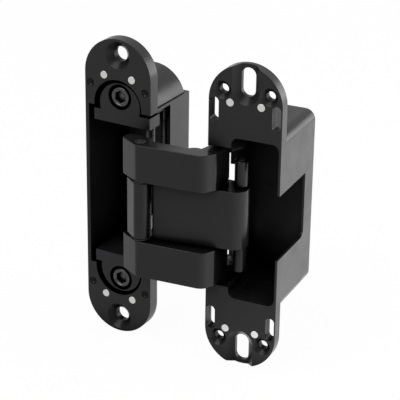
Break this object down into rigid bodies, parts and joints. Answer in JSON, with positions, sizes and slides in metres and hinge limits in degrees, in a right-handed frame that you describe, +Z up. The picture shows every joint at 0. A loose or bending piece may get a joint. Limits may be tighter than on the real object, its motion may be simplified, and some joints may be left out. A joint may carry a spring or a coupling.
{
  "type": "concealed door hinge",
  "caption": "Black three-way adjustable concealed door hinge with two pocketed leaves and crossed folding arms, shown open.",
  "frame": {"origin": "middle of the frame leaf's plate, on its front face, between its two fixing screws", "axes": "+X towards the door leaf, +Y into the frame pocket, +Z up along the plate"},
  "size_m": [0.0924, 0.0526, 0.1344],
  "materials": {
    "case": "satin black powder coat on a zinc die casting",
    "carriage": "satin black powder coat on a zinc die casting",
    "arm": "satin black powder coat, slightly smoother than the cases",
    "pin": "black oxide ground steel",
    "screw": "black oxide steel",
    "bush": "black acetal",
    "magnet": "bright nickel"
  },
  "bodies": {
    "frame_leaf": {"frame_case": "case", "frame_magnet_upper_left": "magnet", "frame_magnet_upper_right": "magnet", "frame_magnet_lower_left": "magnet", "frame_magnet_lower_right": "magnet"},
    "adjuster": {"carriage": "carriage", "clamp_screw_upper": "screw", "clamp_screw_lower": "screw", "clamp_nut_upper": "screw", "clamp_nut_lower": "screw", "frame_pivot_pin": "pin"},
    "middle": {"middle_arm": "arm", "frame_pivot_bush": "bush", "centre_bush": "bush", "roller_pin": "pin"},
    "roller_upper": {"guide_roller_upper": "arm"},
    "roller_lower": {"guide_roller_lower": "arm"},
    "outer": {"outer_arm_upper": "arm", "outer_arm_lower": "arm", "front_pin": "pin", "centre_pin": "pin", "door_pivot_bush_upper": "bush", "door_pivot_bush_lower": "bush", "thrust_washer_upper": "bush", "thrust_washer_lower": "bush"},
    "column": {"column_link": "arm", "slide_pin_upper": "pin", "slide_pin_lower": "pin"},
    "door_leaf": {"door_case": "case", "door_pivot_pin_upper": "pin", "door_pivot_pin_lower": "pin", "door_magnet_upper_left": "magnet", "door_magnet_upper_right": "magnet", "door_magnet_lower_left": "magnet", "door_magnet_lower_right": "magnet"}
  },
  "joints": [
    {"name": "height_adjust", "type": "slide", "parent": "frame_leaf", "child": "adjuster", "axis": [0, 0, 1], "range_m": [-0.0012, 0.0005]},
    {"name": "arm_swing", "type": "hinge", "parent": "adjuster", "child": "middle", "pos_m": [0.0105, 0.0226, 0], "axis": [0, 0, -1], "range_deg": [0, 66.8]},
    {"name": "roller_spin_upper", "type": "hinge", "parent": "middle", "child": "roller_upper", "pos_m": [0.0569, 0.0041, 0], "axis": [0, 0, 1], "continuous": true},
    {"name": "roller_spin_lower", "type": "hinge", "parent": "middle", "child": "roller_lower", "pos_m": [0.0569, 0.0041, 0], "axis": [0, 0, 1], "continuous": true},
    {"name": "outer_swing", "type": "hinge", "parent": "middle", "child": "outer", "pos_m": [0.0351, 0.0034, 0], "axis": [0, 0, -1], "range_deg": [0, 32.31]},
    {"name": "column_swing", "type": "hinge", "parent": "outer", "child": "column", "pos_m": [0.0176, -0.011, 0], "axis": [0, 0, -1], "range_deg": [0, 28.21]},
    {"name": "door_swing", "type": "hinge", "parent": "outer", "child": "door_leaf", "pos_m": [0.04835, 0.0144, 0], "axis": [0, 0, -1], "range_deg": [0, 85.8]}
  ],
  "couplings": [
    {"joint": "outer_swing", "follows": "arm_swing", "ratio": 0.48353},
    {"joint": "column_swing", "follows": "arm_swing", "ratio": 0.42216},
    {"joint": "door_swing", "follows": "arm_swing", "ratio": 1.2842}
  ]
}
